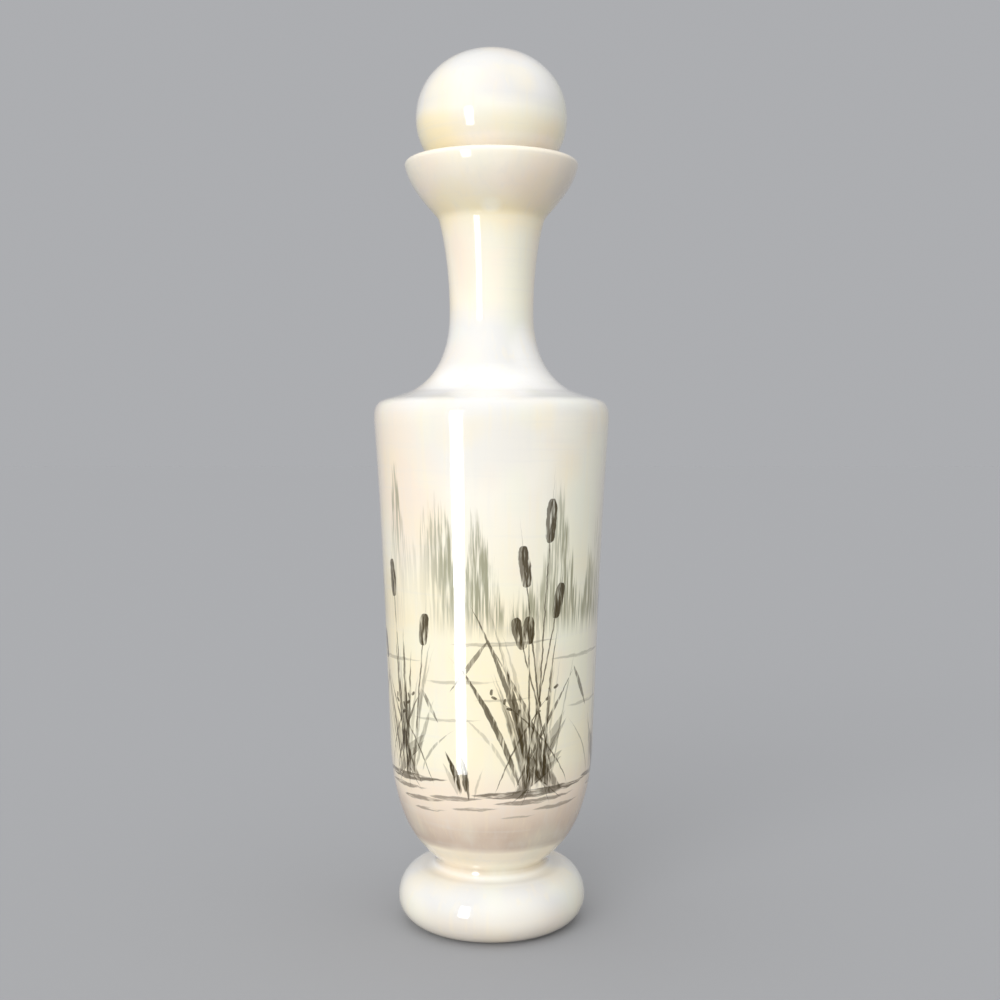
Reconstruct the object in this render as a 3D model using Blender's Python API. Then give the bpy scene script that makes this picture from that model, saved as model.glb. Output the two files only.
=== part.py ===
"""A glazed ceramic decanter with a ball stopper on a cork, at its real size.

Everything is turned about the Z axis, as the potter's mould was: each piece is one closed profile,
drawn in radius and height and spun round. All lengths are in metres, the table is at height zero,
and the bottle stands on the ring under its foot.

The outline is a chain of stretches. Each stretch is one smooth curve to its own end point, and its
two handles are given as shares of the stretch's width and height, so the curve follows the sizes.
"""
import math

import bmesh
import bpy

# Foot: a thick rounded ring that the bottle stands on
FOOT_RADIUS = 0.0359
FOOT_HEIGHT = 0.0213
FOOT_CROWN_RADIUS = 0.0262
FOOT_WIDEST_SHARE = 0.45
REST_RADIUS = 0.0263
REST_WIDTH = 0.0060
RECESS_DEPTH = 0.0020
RECESS_SLOPE = 0.0014

# Waist and bowl: the hollow above the foot and the round bottom of the body
WAIST_RADIUS = 0.0217
WAIST_RISE = 0.0042
BOWL_HEIGHT = 0.0425
BARREL_LOW_RADIUS = 0.0388

# Barrel and shoulder
BARREL_HEIGHT = 0.1220
SHOULDER_RADIUS = 0.0444
SHOULDER_CORNER_WIDTH = 0.0056
SHOULDER_CORNER_HEIGHT = 0.0101
SHOULDER_SLOPE_WIDTH = 0.0083
SHOULDER_SLOPE_HEIGHT = 0.0026

# Neck: it flares out of the shoulder, draws in and widens again to the cup
FLARE_HEIGHT = 0.0293
NECK_RADIUS = 0.0159
NECK_HEIGHT = 0.0352
NECK_TOP_RADIUS = 0.0200

# Cup-shaped mouth with a round lip
CUP_HEIGHT = 0.0215
RIM_RADIUS = 0.0327
LIP_RADIUS = 0.0018

# The wall that the casting slip leaves, and the tapered seat that it is trimmed to for the cork
WALL = 0.0040
SEAT_EASE = 0.0003
SEAT_TAPER = 0.0024
SEAT_LENGTH = 0.0307
CUP_FLOOR_RISE = 0.0015

# Ball of the stopper, a little flatter than a true ball, on a short open stem
BALL_RADIUS = 0.0285
BALL_HALF_HEIGHT = 0.0257
BALL_RISE = 0.0156
BALL_WALL = 0.0036
STEM_FILLET_WIDTH = 0.0028
STEM_FILLET_HEIGHT = 0.0032
STEM_EDGE = 0.0009

# Cork: seated in the neck, glued in the stem, and bare for a few millimetres between them
CORK_DEPTH = 0.0247
CORK_SHOWING = 0.0053
CORK_PROUD = 0.0016
CORK_CHAMFER = 0.0008
CORK_GAP = 0.0003
GLUE_GAP = 0.0003

# Facets round the axis, and the steps of one stretch outside and inside
FACETS = 56
NECK_STEPS = 3
LIP_STEPS = 5
CUP_INSIDE_STEPS = 4
BALL_STEPS = 13
BALL_INSIDE_STEPS = 8
STEM_STEPS = 3
MERGE_DISTANCE = 0.000001
SHARP_ANGLE = math.radians(40)

# Handle shares of a quarter of an ellipse, starting level or starting upright
LEVEL_START_SHARES = ((0.5523, 0.0), (1.0, 0.4477))
UPRIGHT_START_SHARES = ((0.0, 0.5523), (0.4477, 1.0))

# Handle shares of the other stretches, from the foot up
FILLET_SHARES = ((0.75, 0.0), (1.0, 0.30))
BOWL_START_SHARES = (0.304, 0.116)
BOWL_TURN_SHARES = ((0.0, 0.53), (0.542, 0.533))
BOWL_SHARES = ((0.665, 0.219), (0.947, 0.600))
BARREL_SHARES = ((0.304, 0.344), (0.482, 0.668))
CORNER_SHARES = ((-0.088, 0.683), (0.107, 0.871))
SLOPE_SHARES = ((0.542, 0.450), (0.711, 0.692))
FLARE_SHARES = ((0.568, 0.137), (1.0, 0.464))
NECK_SHARES = ((0.0, 0.369), (0.366, 0.710))
CUP_SHARES = ((0.576, 0.413), (0.876, 0.660))
CUP_INSIDE_SHARES = ((0.083, 0.352), (0.593, 0.846))
STEM_FILLET_SHARES = ((0.60, 0.38), (1.0, 0.45))

# The lip's round starts a little below its widest point and ends upright on the inside
LIP_START_ANGLE = math.radians(-10)
LIP_END_ANGLE = math.radians(180)

# Glaze and cork as the eye sees them: colour, roughness and metallic value
GLAZE_COLOUR = (0.90, 0.87, 0.79, 1.0)
GLAZE_ROUGHNESS = 0.12
CORK_COLOUR = (0.55, 0.38, 0.22, 1.0)
CORK_ROUGHNESS = 0.85
NOT_METAL = 0.0

# Heights of the stations along the outline
foot_widest = FOOT_HEIGHT * FOOT_WIDEST_SHARE
waist_height = FOOT_HEIGHT + WAIST_RISE
barrel_low = waist_height + BOWL_HEIGHT
barrel_top = barrel_low + BARREL_HEIGHT
corner_top = barrel_top + SHOULDER_CORNER_HEIGHT
flare_low = corner_top + SHOULDER_SLOPE_HEIGHT
neck_low = flare_low + FLARE_HEIGHT
neck_top = neck_low + NECK_HEIGHT
rim_height = neck_top + CUP_HEIGHT

# Radii that follow from their neighbours
corner_radius = SHOULDER_RADIUS - SHOULDER_CORNER_WIDTH
flare_radius = corner_radius - SHOULDER_SLOPE_WIDTH
lip_centre = (RIM_RADIUS - LIP_RADIUS, rim_height - LIP_RADIUS)

# The cork's seat in the neck
seat_top = neck_top + CUP_FLOOR_RISE
seat_low = seat_top - SEAT_LENGTH
seat_low_radius = NECK_RADIUS - WALL + SEAT_EASE
seat_top_radius = seat_low_radius + SEAT_TAPER

# The stopper, which slides up out of the seat
ball_centre = rim_height + BALL_RISE
cork_low = seat_top - CORK_DEPTH
cork_radius = seat_top_radius - CORK_GAP
stem_bore = cork_radius + GLUE_GAP
stem_radius = stem_bore + BALL_WALL
stem_low = seat_top + CORK_SHOWING


def point_between(start, end, shares):
    """The point that lies the given shares of the way from start to end, in radius and in height."""
    return tuple(a + (b - a) * share for a, b, share in zip(start, end, shares))


def stretch(start, end, handle_shares, steps):
    """Points of a smooth curve from start to end, without the start."""
    first = point_between(start, end, handle_shares[0])
    second = point_between(start, end, handle_shares[1])
    points = []
    for step in range(1, steps + 1):
        t = step / steps
        weights = ((1 - t) ** 3, 3 * t * (1 - t) ** 2, 3 * t * t * (1 - t), t ** 3)
        corners = (start, first, second, end)
        points.append(tuple(sum(w * c[axis] for w, c in zip(weights, corners)) for axis in (0, 1)))
    return points


def arc(centre, radius, start_angle, end_angle, steps):
    """Points of a round arc from start_angle to end_angle, both ends included."""
    points = []
    for step in range(steps + 1):
        angle = start_angle + (end_angle - start_angle) * step / steps
        points.append((centre[0] + radius * math.cos(angle), centre[1] + radius * math.sin(angle)))
    return points


def body_stretches():
    """From the resting ring to the neck: end point, handle shares, steps outside and inside."""
    waist = (WAIST_RADIUS, waist_height)
    barrel_start = (BARREL_LOW_RADIUS, barrel_low)
    bowl_start = point_between(waist, barrel_start, BOWL_START_SHARES)
    return [
        ((FOOT_RADIUS, foot_widest), LEVEL_START_SHARES, 4, 3),
        ((FOOT_CROWN_RADIUS, FOOT_HEIGHT), UPRIGHT_START_SHARES, 4, 3),
        (waist, FILLET_SHARES, 3, 2),
        (bowl_start, BOWL_TURN_SHARES, 2, 1),
        (barrel_start, BOWL_SHARES, 6, 4),
        ((SHOULDER_RADIUS, barrel_top), BARREL_SHARES, 4, 2),
        ((corner_radius, corner_top), CORNER_SHARES, 5, 3),
        ((flare_radius, flare_low), SLOPE_SHARES, 1, 1),
        ((NECK_RADIUS, neck_low), FLARE_SHARES, 6, 4),
    ]


def body_outline(inside=False):
    """The body's outer outline from the resting ring to the neck's narrowest place."""
    points = [(REST_RADIUS, 0.0)]
    for end, shares, steps_outside, steps_inside in body_stretches():
        steps = steps_inside if inside else steps_outside
        points += stretch(points[-1], end, shares, steps)
    return points


def offset_inwards(points, distance):
    """The same outline moved square to itself towards the hollow, as the slip builds its wall."""
    moved = []
    for index, (radius, height) in enumerate(points):
        before = points[max(index - 1, 0)]
        after = points[min(index + 1, len(points) - 1)]
        along_radius, along_height = after[0] - before[0], after[1] - before[1]
        if index == 0:
            along_radius, along_height = 1.0, 0.0
        length = math.hypot(along_radius, along_height)
        moved.append((radius - distance * along_height / length,
                      height + distance * along_radius / length))
    return moved


def bottle_profile():
    """Closed profile: under the foot, up the outside, over the lip and down the hollow."""
    rest_inner = REST_RADIUS - REST_WIDTH
    recess_radius = rest_inner - RECESS_SLOPE
    points = [(0.0, RECESS_DEPTH), (recess_radius, RECESS_DEPTH), (rest_inner, 0.0)]
    points += body_outline()
    points += stretch(points[-1], (NECK_TOP_RADIUS, neck_top), NECK_SHARES, NECK_STEPS)
    lip = arc(lip_centre, LIP_RADIUS, LIP_START_ANGLE, LIP_END_ANGLE, LIP_STEPS)
    points += stretch(points[-1], lip[0], CUP_SHARES, CUP_INSIDE_STEPS)
    points += lip[1:]
    seat_mouth = (seat_top_radius, seat_top)
    points += stretch(points[-1], seat_mouth, CUP_INSIDE_SHARES, CUP_INSIDE_STEPS)
    points.append((seat_low_radius, seat_low))
    points += reversed(offset_inwards(body_outline(inside=True), WALL))
    points += [(recess_radius, RECESS_DEPTH + WALL), (0.0, RECESS_DEPTH + WALL)]
    return points


def ball_height_at(radius, shell_radius, shell_half_height):
    """Height of the lower half of a flattened ball, at a radius, from the ball's centre."""
    return -shell_half_height * math.sqrt(1 - (radius / shell_radius) ** 2)


def ball_arc(shell_radius, shell_half_height, end_radius, steps):
    """A flattened ball's outline from its top to where its lower half has the end radius."""
    end_angle = -math.acos(end_radius / shell_radius)
    unit = arc((0.0, 0.0), 1.0, math.pi / 2, end_angle, steps)
    points = [(shell_radius * across, shell_half_height * up) for across, up in unit]
    points[0] = (0.0, shell_half_height)
    return points


def ball_profile():
    """Closed profile of the hollow ball and its stem, with heights from the ball's centre."""
    stem_end = stem_low - ball_centre
    outside = ball_arc(BALL_RADIUS, BALL_HALF_HEIGHT, stem_radius + STEM_FILLET_WIDTH, BALL_STEPS)
    joint = (stem_radius, outside[-1][1] - STEM_FILLET_HEIGHT)
    outside += stretch(outside[-1], joint, STEM_FILLET_SHARES, STEM_STEPS)
    edge_centre = (stem_radius - STEM_EDGE, stem_end + STEM_EDGE)
    outside += arc(edge_centre, STEM_EDGE, 0.0, -math.pi / 2, STEM_STEPS)
    inside = ball_arc(BALL_RADIUS - BALL_WALL, BALL_HALF_HEIGHT - BALL_WALL, stem_bore,
                      BALL_INSIDE_STEPS)
    return outside + [(stem_bore, stem_end)] + list(reversed(inside))


def cork_profile():
    """Closed profile of the cork, from its lower end up, with heights from that end."""
    taper = (seat_top_radius - seat_low_radius) / SEAT_LENGTH
    low_radius = cork_radius - taper * CORK_DEPTH
    inner_floor = ball_height_at(stem_bore, BALL_RADIUS - BALL_WALL, BALL_HALF_HEIGHT - BALL_WALL)
    length = ball_centre + inner_floor + CORK_PROUD - cork_low
    return [
        (0.0, 0.0),
        (low_radius - CORK_CHAMFER, 0.0),
        (low_radius, CORK_CHAMFER),
        (cork_radius, CORK_DEPTH),
        (cork_radius, length - CORK_CHAMFER),
        (cork_radius - CORK_CHAMFER, length),
        (0.0, length),
    ]


def turned_object(name, profile, material):
    """Spin a profile round the Z axis into one closed, smooth-shaded object."""
    work = bmesh.new()
    rim = [work.verts.new((radius, 0.0, height)) for radius, height in profile]
    edges = [work.edges.new(pair) for pair in zip(rim, rim[1:])]
    bmesh.ops.spin(work, geom=rim + edges, cent=(0.0, 0.0, 0.0), axis=(0.0, 0.0, 1.0),
                   angle=2 * math.pi, steps=FACETS, use_merge=True)
    bmesh.ops.remove_doubles(work, verts=work.verts, dist=MERGE_DISTANCE)
    bmesh.ops.recalc_face_normals(work, faces=work.faces)
    mesh = bpy.data.meshes.new(name)
    work.to_mesh(mesh)
    work.free()
    mesh.shade_smooth()
    mesh.set_sharp_from_angle(angle=SHARP_ANGLE)
    mesh.materials.append(material)
    piece = bpy.data.objects.new(name, mesh)
    bpy.context.scene.collection.objects.link(piece)
    return piece


def finish_material(name, colour, roughness):
    """A plain Principled material with the piece's own colour and gloss."""
    material = bpy.data.materials.new(name)
    material.use_nodes = True
    shader = material.node_tree.nodes["Principled BSDF"]
    shader.inputs["Base Color"].default_value = colour
    shader.inputs["Roughness"].default_value = roughness
    shader.inputs["Metallic"].default_value = NOT_METAL
    material.diffuse_color = colour
    return material


def make_bottle():
    """The cast vessel: foot, waist, bowl, barrel, shoulder, neck and cup in one piece."""
    glaze = finish_material("bottle_glaze", GLAZE_COLOUR, GLAZE_ROUGHNESS)
    return turned_object("bottle", bottle_profile(), glaze)


def make_stopper_axis():
    """The empty on the stopper's sliding axis, level with the mouth of the cork's seat."""
    axis = bpy.data.objects.new("stopper_axis", None)
    axis.location = (0.0, 0.0, seat_top)
    bpy.context.scene.collection.objects.link(axis)
    return axis


def make_stopper_ball(axis):
    """The hollow ball of the stopper with its stem, placed by the ball's centre."""
    glaze = finish_material("ball_glaze", GLAZE_COLOUR, GLAZE_ROUGHNESS)
    ball = turned_object("stopper_ball", ball_profile(), glaze)
    ball.parent = axis
    ball.location = (0.0, 0.0, ball_centre - seat_top)
    return ball


def make_stopper_cork(axis):
    """The tapered cork, placed by its lower end."""
    cork_finish = finish_material("cork", CORK_COLOUR, CORK_ROUGHNESS)
    cork = turned_object("stopper_cork", cork_profile(), cork_finish)
    cork.parent = axis
    cork.location = (0.0, 0.0, cork_low - seat_top)
    return cork


def clear_scene():
    """Start from an empty scene."""
    for old in list(bpy.data.objects):
        bpy.data.objects.remove(old, do_unlink=True)


clear_scene()
make_bottle()
stopper_axis = make_stopper_axis()
make_stopper_ball(stopper_axis)
make_stopper_cork(stopper_axis)
bpy.context.view_layer.update()
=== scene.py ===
# %% [markdown]
# # A ceramic decanter in a lustre glaze
# The working model is a bottle with a stopper that lifts out of it. It stands on the table at height
# zero, its axis is Z, and lengths are in metres. Its solids have few facets, so that they can be
# tested. Here each piece is turned again, finely and on the same sizes, and gets the finish of the
# real one: an ivory glaze with a pearl lustre, an ink painting under it, and a natural cork.

# %% Load the working model
import math
import random

import bpy
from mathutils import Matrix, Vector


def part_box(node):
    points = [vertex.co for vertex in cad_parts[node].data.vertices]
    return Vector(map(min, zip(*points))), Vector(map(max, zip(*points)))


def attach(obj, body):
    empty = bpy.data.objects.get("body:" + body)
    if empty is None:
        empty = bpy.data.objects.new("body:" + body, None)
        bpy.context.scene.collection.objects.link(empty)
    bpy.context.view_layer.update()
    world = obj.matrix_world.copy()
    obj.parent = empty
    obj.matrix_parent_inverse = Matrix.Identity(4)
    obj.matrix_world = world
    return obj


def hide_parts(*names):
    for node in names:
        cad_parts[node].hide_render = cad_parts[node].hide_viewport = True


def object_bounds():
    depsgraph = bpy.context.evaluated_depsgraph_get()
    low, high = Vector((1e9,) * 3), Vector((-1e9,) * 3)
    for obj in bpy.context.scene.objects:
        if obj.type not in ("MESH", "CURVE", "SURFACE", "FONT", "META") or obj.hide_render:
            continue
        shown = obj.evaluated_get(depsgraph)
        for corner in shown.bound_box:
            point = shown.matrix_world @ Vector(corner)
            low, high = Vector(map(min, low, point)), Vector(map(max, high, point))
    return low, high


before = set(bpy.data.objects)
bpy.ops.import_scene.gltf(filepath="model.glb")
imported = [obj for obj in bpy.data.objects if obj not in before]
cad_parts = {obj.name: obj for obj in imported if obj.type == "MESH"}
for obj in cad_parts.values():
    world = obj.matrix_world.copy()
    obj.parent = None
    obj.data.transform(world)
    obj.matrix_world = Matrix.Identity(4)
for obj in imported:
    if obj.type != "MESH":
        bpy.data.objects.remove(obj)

model_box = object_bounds()

# %% [markdown]
# ## The camera
# It stands half a metre in front of the decanter, a little above its middle, and looks slightly
# down, so the mouth shows as a thin ellipse and the foot as a wider one. The lens is a normal one.
# Making the camera first lets every later step be judged in the same picture.

# %% Camera
CAMERA_SIDE = 0.0032
CAMERA_DISTANCE = 0.5139
CAMERA_HEIGHT = 0.1890
CAMERA_DOWN = math.radians(3.09)
LENS_MM = 48.6
SENSOR_MM = 36.0
UPRIGHT = math.radians(90)


def add_object(name, data):
    """Put a new object with the given data into the scene."""
    made = bpy.data.objects.new(name, data)
    bpy.context.scene.collection.objects.link(made)
    return made


camera_data = bpy.data.cameras.new("camera")
camera_data.lens = LENS_MM
camera_data.sensor_width = SENSOR_MM
camera = add_object("camera", camera_data)
camera.location = (CAMERA_SIDE, -CAMERA_DISTANCE, CAMERA_HEIGHT)
camera.rotation_euler = (UPRIGHT - CAMERA_DOWN, 0.0, 0.0)
bpy.context.scene.camera = camera
print("camera at", [round(value, 3) for value in camera.location])

# %% [markdown]
# ## Helpers for node trees
# Geometry and materials are both node trees here, so one small function adds a node, sets its
# options and fills its sockets. A socket gets a plain value, or the output of another node. A node
# group is a tree with named sockets of its own, so it can be used like a single node.

# %% Node helpers


def fill(tree, node, inputs):
    """Fill a node's sockets with plain values or with other nodes' output sockets."""
    for name, value in inputs.items():
        if isinstance(value, bpy.types.NodeSocket):
            tree.links.new(value, node.inputs[name])
        else:
            node.inputs[name].default_value = value


def add_node(tree, kind, inputs=None, **options):
    """Add one node to a tree, set its options and fill its sockets."""
    node = tree.nodes.new(kind)
    for name, value in options.items():
        setattr(node, name, value)
    fill(tree, node, inputs or {})
    return node


def math_node(tree, operation, *values):
    """A Math node's output for up to three values or sockets."""
    return add_node(tree, "ShaderNodeMath", dict(enumerate(values)), operation=operation).outputs[0]


def new_group(name, kind, takes, gives):
    """A node group; takes and gives hold the name and the kind of each socket."""
    tree = bpy.data.node_groups.new(name, kind)
    for direction, sockets in (("INPUT", takes), ("OUTPUT", gives)):
        for label, socket_kind in sockets.items():
            tree.interface.new_socket(label, in_out=direction, socket_type="NodeSocket" + socket_kind)
    return tree


print("helpers ready")

# %% [markdown]
# ## The outline of a turned piece
# A potter's mould is turned on a lathe, so one outline in radius and height says everything about
# its form. It is a chain of stretches. Each is a cubic curve between two places on the outline, and
# its two handles are shares of its own width and height, so a stretch keeps its character when a
# size changes. Where two stretches meet at an angle, the glaze fills the corner: it is rounded.

# %% Outline tools


def place_between(start, end, shares):
    """The place that lies the given shares of the way from start to end."""
    return tuple(a + (b - a) * share for a, b, share in zip(start, end, shares))


def curve_run(start, end, handle_shares, steps):
    """Places on a cubic curve from start to end, without the start."""
    handles = [place_between(start, end, shares) for shares in handle_shares]
    corners = (start, *handles, end)
    run = []
    for step in range(1, steps + 1):
        t = step / steps
        weights = ((1 - t) ** 3, 3 * t * (1 - t) ** 2, 3 * t * t * (1 - t), t ** 3)
        run.append(tuple(sum(w * c[axis] for w, c in zip(weights, corners)) for axis in (0, 1)))
    return run


def arc_run(centre, radii, start_angle, end_angle, steps):
    """Places on an arc of an ellipse, both ends included."""
    angles = [start_angle + (end_angle - start_angle) * step / steps for step in range(steps + 1)]
    return [(centre[0] + radii[0] * math.cos(a), centre[1] + radii[1] * math.sin(a)) for a in angles]


def moved_inwards(outline, wall):
    """The outline moved square to itself by one wall thickness."""
    moved = []
    for index, (radius, height) in enumerate(outline):
        before = outline[max(index - 1, 0)]
        after = outline[min(index + 1, len(outline) - 1)]
        along = (after[0] - before[0], after[1] - before[1]) if index else (1.0, 0.0)
        length = math.hypot(*along)
        moved.append((radius - wall * along[1] / length, height + wall * along[0] / length))
    return moved


def softened(outline, corners, reach, steps=4):
    """The outline with each listed corner, and what lies within reach of it, made one short curve."""
    for corner in corners:
        before = after = outline.index(corner)
        while math.dist(outline[before], corner) < reach:
            before -= 1
        while math.dist(outline[after], corner) < reach:
            after += 1
        ends = []
        for other in (outline[before], outline[after]):
            share = min(reach / math.dist(corner, other), 0.5)
            ends.append(place_between(corner, other, (share, share)))
        curve = []
        for step in range(steps + 1):
            t = step / steps
            first = place_between(ends[0], corner, (t, t))
            second = place_between(corner, ends[1], (t, t))
            curve.append(place_between(first, second, (t, t)))
        outline = outline[:before + 1] + curve + outline[after:]
    return outline


print("outline tools ready")

# %% [markdown]
# ## The wheel: Geometry Nodes that turn an outline
# A lathe is a rule: every row of the outline goes once round the axis. The tree lays out a grid with
# one column for each facet and one row for each place on the outline, looks up its row's place with
# Sample Index, and turns it about Z by its column's share of a full turn. Merge by Distance then
# closes the seam and the poles. Many facets cost little here, so reflections run smoothly. Every
# tree for a piece ends alike: its geometry is made real and gets its finish.

# %% The wheel's tree
FULL_TURN = 2 * math.pi
MERGE_DISTANCE = 0.000001


def end_tree(tree, geometry, finish):
    """Make a tree's geometry real, give it its finish and send it out."""
    real = add_node(tree, "GeometryNodeRealizeInstances", {"Geometry": geometry})
    finished = add_node(tree, "GeometryNodeSetMaterial", {"Geometry": real.outputs[0], "Material": finish})
    add_node(tree, "NodeGroupOutput", {0: finished.outputs[0]})


def wheel_tree():
    """Geometry Nodes that turn an ordered outline into a closed, smooth form."""
    takes = {"Outline": "Geometry", "Facets": "Int", "Rows": "Int", "Finish": "Material"}
    tree = new_group("wheel", "GeometryNodeTree", takes, {"Form": "Geometry"})
    given = tree.nodes.new("NodeGroupInput").outputs
    columns = math_node(tree, "ADD", given["Facets"], 1)
    grid = add_node(tree, "GeometryNodeMeshGrid", {"Vertices X": columns, "Vertices Y": given["Rows"]})
    index = tree.nodes.new("GeometryNodeInputIndex").outputs[0]
    row = math_node(tree, "MODULO", index, given["Rows"])
    column = math_node(tree, "FLOOR", math_node(tree, "DIVIDE", index, given["Rows"]))
    position = tree.nodes.new("GeometryNodeInputPosition").outputs[0]
    look_up = add_node(tree, "GeometryNodeSampleIndex",
                       {"Geometry": given["Outline"], "Value": position, "Index": row},
                       data_type="FLOAT_VECTOR")
    turn = math_node(tree, "DIVIDE", math_node(tree, "MULTIPLY", column, FULL_TURN), given["Facets"])
    turned = add_node(tree, "ShaderNodeVectorRotate", {"Vector": look_up.outputs["Value"], "Angle": turn},
                      rotation_type="Z_AXIS")
    placed = add_node(tree, "GeometryNodeSetPosition",
                      {"Geometry": grid.outputs["Mesh"], "Position": turned.outputs[0]})
    closed = add_node(tree, "GeometryNodeMergeByDistance",
                      {"Geometry": placed.outputs[0], "Distance": MERGE_DISTANCE})
    smooth = add_node(tree, "GeometryNodeSetShadeSmooth", {"Geometry": closed.outputs[0]})
    end_tree(tree, smooth.outputs[0], given["Finish"])
    return tree


def input_names(tree):
    """Each input socket's name and the identifier that a modifier knows it by."""
    return {item.name: item.identifier for item in tree.interface.items_tree if item.in_out == "INPUT"}


wheel = wheel_tree()
print("the wheel takes", list(input_names(wheel)))

# %% [markdown]
# A modifier's inputs are set by identifier before the piece is first evaluated. The evaluated result
# becomes a plain mesh, so the finished piece has no modifier left. The volume inside the mesh is
# positive when its faces point outwards, which is worth a look after every turning.

# %% Run a tree and keep its mesh
MILLILITRES_IN_CUBIC_METRE = 1000000


def run_tree(source, tree, name, values):
    """Evaluate a tree on a source object and return a plain mesh object with the result."""
    modifier = source.modifiers.new(tree.name, "NODES")
    modifier.node_group = tree
    for label, identifier in input_names(tree).items():
        if label in values:
            modifier[identifier] = values[label]
    bpy.context.view_layer.update()
    shaped = source.evaluated_get(bpy.context.evaluated_depsgraph_get())
    mesh = bpy.data.meshes.new_from_object(shaped)
    bpy.data.objects.remove(source)
    mesh.name = name
    return add_object(name, mesh)


def millilitres(mesh):
    """Volume inside a closed mesh, positive when its faces point outwards."""
    total = 0.0
    mesh.calc_loop_triangles()
    for triangle in mesh.loop_triangles:
        a, b, c = (mesh.vertices[index].co for index in triangle.vertices)
        total += a.dot(b.cross(c)) / 6
    return total * MILLILITRES_IN_CUBIC_METRE


def turn_outline(name, outline, facets, finish):
    """Turn an outline on the wheel."""
    places = [(radius, 0.0, height) for radius, height in outline]
    drawn = bpy.data.meshes.new(name + "_outline")
    drawn.from_pydata(places, [(index, index + 1) for index in range(len(places) - 1)], [])
    source = add_object(name + "_outline", drawn)
    piece = run_tree(source, wheel, name, {"Facets": facets, "Rows": len(places), "Finish": finish})
    print(name, len(piece.data.polygons), "faces,", round(millilitres(piece.data), 1), "ml of material")
    return piece


print("the wheel merges what lies within", MERGE_DISTANCE, "m")

# %% [markdown]
# ## Sizes of the bottle
# The outer limits come from the working model. The places between them are the same stations as in
# its own outline: the resting ring, the foot, the waist, the bowl, the barrel, the shoulder, the
# flare, the neck and the cup. Only the waist lies a little lower and closer in than the working
# model's, so that the bowl runs straight down into it, as it does on the real one.

# %% Stations of the bottle
bottle_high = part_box("bottle")[1]
RIM_HEIGHT = bottle_high[2]
SHOULDER_RADIUS = bottle_high[0]
LIP_RADIUS = 0.0018
WALL = 0.0040

RING_INNER = (0.0203, 0.0)
RING_OUTER = (0.0263, 0.0)
RECESS_EDGE = (0.0189, 0.0020)
FOOT_WIDEST = (0.0359, 0.0096)
FOOT_CROWN = (0.0262, 0.0213)
WAIST = (0.0213, 0.0240)
BARREL_LOW = (0.0388, 0.0680)
BARREL_TOP = (SHOULDER_RADIUS, 0.1900)
CORNER_TOP = (0.0388, 0.2001)
FLARE_LOW = (0.0305, 0.2027)
NECK = (0.0159, 0.2320)
NECK_TOP = (0.0200, 0.2672)
RIM = (0.0327, RIM_HEIGHT)
SEAT_TOP = (0.0146, 0.2687)
SEAT_LOW = (0.0122, 0.2380)

BOWL_START = place_between(WAIST, BARREL_LOW, (0.337, 0.1455))

# where each stretch ends, the shares of its two handles, and its number of steps
OUTSIDE_RUNS = [
    (FOOT_WIDEST, ((0.5523, 0.0), (1.0, 0.4477)), 14),
    (FOOT_CROWN, ((0.0, 0.5523), (0.4477, 1.0)), 14),
    (WAIST, ((0.75, 0.0), (1.0, 0.30)), 10),
    (BOWL_START, ((0.0, 0.16), (0.50, 0.475)), 8),
    (BARREL_LOW, ((0.665, 0.219), (0.947, 0.600)), 20),
    (BARREL_TOP, ((0.304, 0.344), (0.482, 0.668)), 30),
    (CORNER_TOP, ((-0.088, 0.683), (0.107, 0.871)), 16),
    (FLARE_LOW, ((0.542, 0.450), (0.711, 0.692)), 4),
    (NECK, ((0.568, 0.137), (1.0, 0.464)), 22),
]
NECK_RUN = (((0.0, 0.369), (0.366, 0.710)), 20)
CUP_RUN = (((0.576, 0.413), (0.876, 0.660)), 16)
CUP_INSIDE_RUN = (((0.083, 0.352), (0.593, 0.846)), 16)
LIP_START = math.radians(-10)
LIP_STEPS = 14
print("rim at", round(RIM_HEIGHT, 4), "shoulder radius", round(SHOULDER_RADIUS, 4))

# %% [markdown]
# The outline starts under the foot, runs up the outside, over the round lip and down the hollow.
# Slip casting builds the same wall everywhere, so the hollow is the outside moved inwards, apart
# from the tapered seat that is trimmed for the cork. Glaze rounds a crease over a few millimetres
# and a sharp edge over less than one.

# %% Outline of the bottle
CREASE_REACH = 0.0022
CREASE_STEPS = 6
SEAT_REACH = 0.0010
EDGE_REACH = 0.0006


def bottle_outline():
    """Closed outline of the cast vessel, from the axis under the foot to the axis inside it."""
    outside = [RING_OUTER]
    for end, handle_shares, steps in OUTSIDE_RUNS:
        outside += curve_run(outside[-1], end, handle_shares, steps)
    neck_run = curve_run(NECK, NECK_TOP, *NECK_RUN)
    lip_centre = (RIM[0] - LIP_RADIUS, RIM[1] - LIP_RADIUS)
    lip = arc_run(lip_centre, (LIP_RADIUS, LIP_RADIUS), LIP_START, math.pi, LIP_STEPS)
    cup_run = curve_run(NECK_TOP, lip[0], *CUP_RUN)
    cup_inside = curve_run(lip[-1], SEAT_TOP, *CUP_INSIDE_RUN)
    hollow = list(reversed(moved_inwards(outside, WALL)))
    floor_edge = (RECESS_EDGE[0], RECESS_EDGE[1] + WALL)
    base = [(0.0, RECESS_EDGE[1]), RECESS_EDGE, RING_INNER]
    outline = base + outside + neck_run + cup_run + lip[1:] + cup_inside + [SEAT_LOW] + hollow
    outline += [floor_edge, (0.0, floor_edge[1])]
    outline = softened(outline, (NECK_TOP, BOWL_START), CREASE_REACH, CREASE_STEPS)
    outline = softened(outline, (SEAT_TOP,), SEAT_REACH)
    return softened(outline, (RECESS_EDGE, RING_INNER, RING_OUTER, SEAT_LOW, floor_edge), EDGE_REACH)


print("outline of the bottle has", len(bottle_outline()), "places")

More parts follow.
